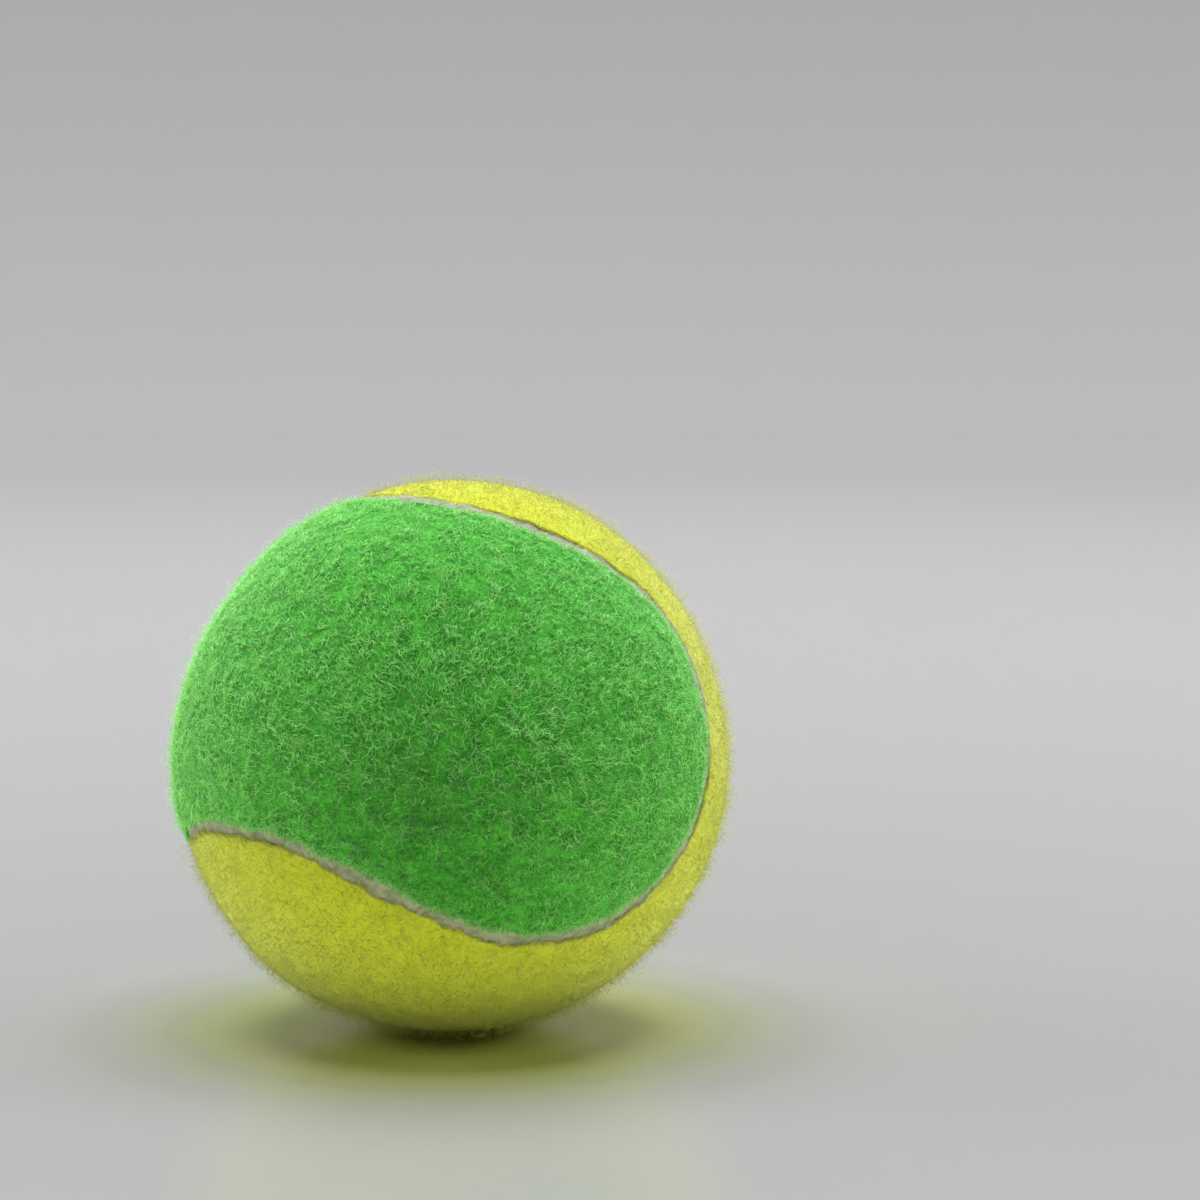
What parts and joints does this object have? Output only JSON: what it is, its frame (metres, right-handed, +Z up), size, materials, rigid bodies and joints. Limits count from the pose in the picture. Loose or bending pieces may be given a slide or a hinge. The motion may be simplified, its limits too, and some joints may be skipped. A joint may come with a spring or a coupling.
{
  "type": "tennis ball",
  "caption": "Felt-covered rubber tennis ball with green and yellow panels and one endless seam, for play at a lower bounce or as a soft round prop.",
  "frame": {"origin": "centre of the small flat that the ball stands on, straight below the ball's centre", "axes": "+Z up through the ball's centre; -Y faces the viewer, who sees the tip of a green lobe low on the right"},
  "size_m": [0.066, 0.066, 0.0655],
  "materials": {
    "core_rubber": "matt moulded rubber",
    "core_cement": "dull dried rubber cement",
    "backing_cloth": "plain woven cloth",
    "green_felt": "raised, curly, teased felt nap",
    "yellow_felt": "raised, curly, teased felt nap",
    "seam_cement": "dull, uneven dried seam cement"
  },
  "bodies": {
    "root": {"core_half_upper": "core_rubber", "core_half_lower": "core_rubber", "core_joint_cement": "core_cement", "core_cement_coat": "core_cement", "green_backing_cloth": "backing_cloth", "yellow_backing_cloth": "backing_cloth", "green_felt": "green_felt", "yellow_felt": "yellow_felt", "seam_cement": "seam_cement"}
  },
  "joints": []
}
